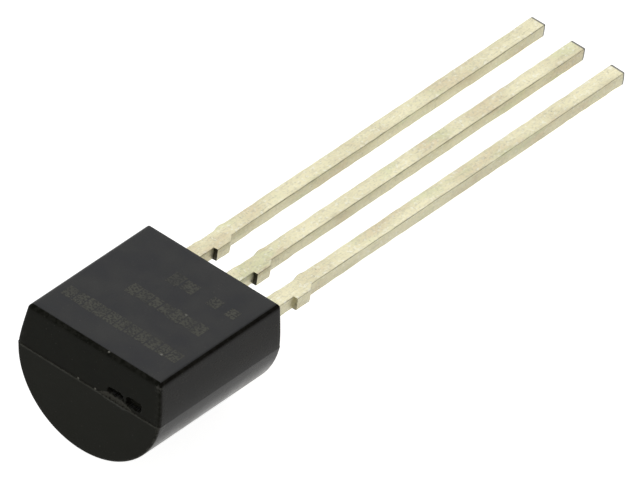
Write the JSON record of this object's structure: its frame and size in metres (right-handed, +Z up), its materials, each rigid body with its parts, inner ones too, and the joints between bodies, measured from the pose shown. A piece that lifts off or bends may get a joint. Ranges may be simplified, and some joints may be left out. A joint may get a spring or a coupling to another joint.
{
  "type": "temperature sensor",
  "caption": "Through-hole temperature sensor: a small black moulded body with one flat face and a round back, on straight tinned leads.",
  "frame": {"origin": "centre of the footprint on the surface that the part lies on", "axes": "+Z up; +Y along the leads' run, from the body's closed end to the lead tips; +X across the leads towards lead 1. The part lies flat face up, on its round back's rim and the lead tips, so its leads fall about 8 degrees towards their tips"},
  "size_m": [0.0046, 0.019, 0.0039],
  "materials": {
    "epoxy_moulding": "satin",
    "tinned_lead": "satin",
    "silicon": "polished",
    "silver_adhesive": "matte",
    "bonding_gold": "polished"
  },
  "bodies": {
    "root": {"moulded_body": "epoxy_moulding", "lead_1": "tinned_lead", "lead_2": "tinned_lead", "lead_3": "tinned_lead", "sensor_die": "silicon", "die_attach": "silver_adhesive", "bond_wire_1": "bonding_gold", "bond_wire_2": "bonding_gold", "bond_wire_3": "bonding_gold"}
  },
  "joints": []
}
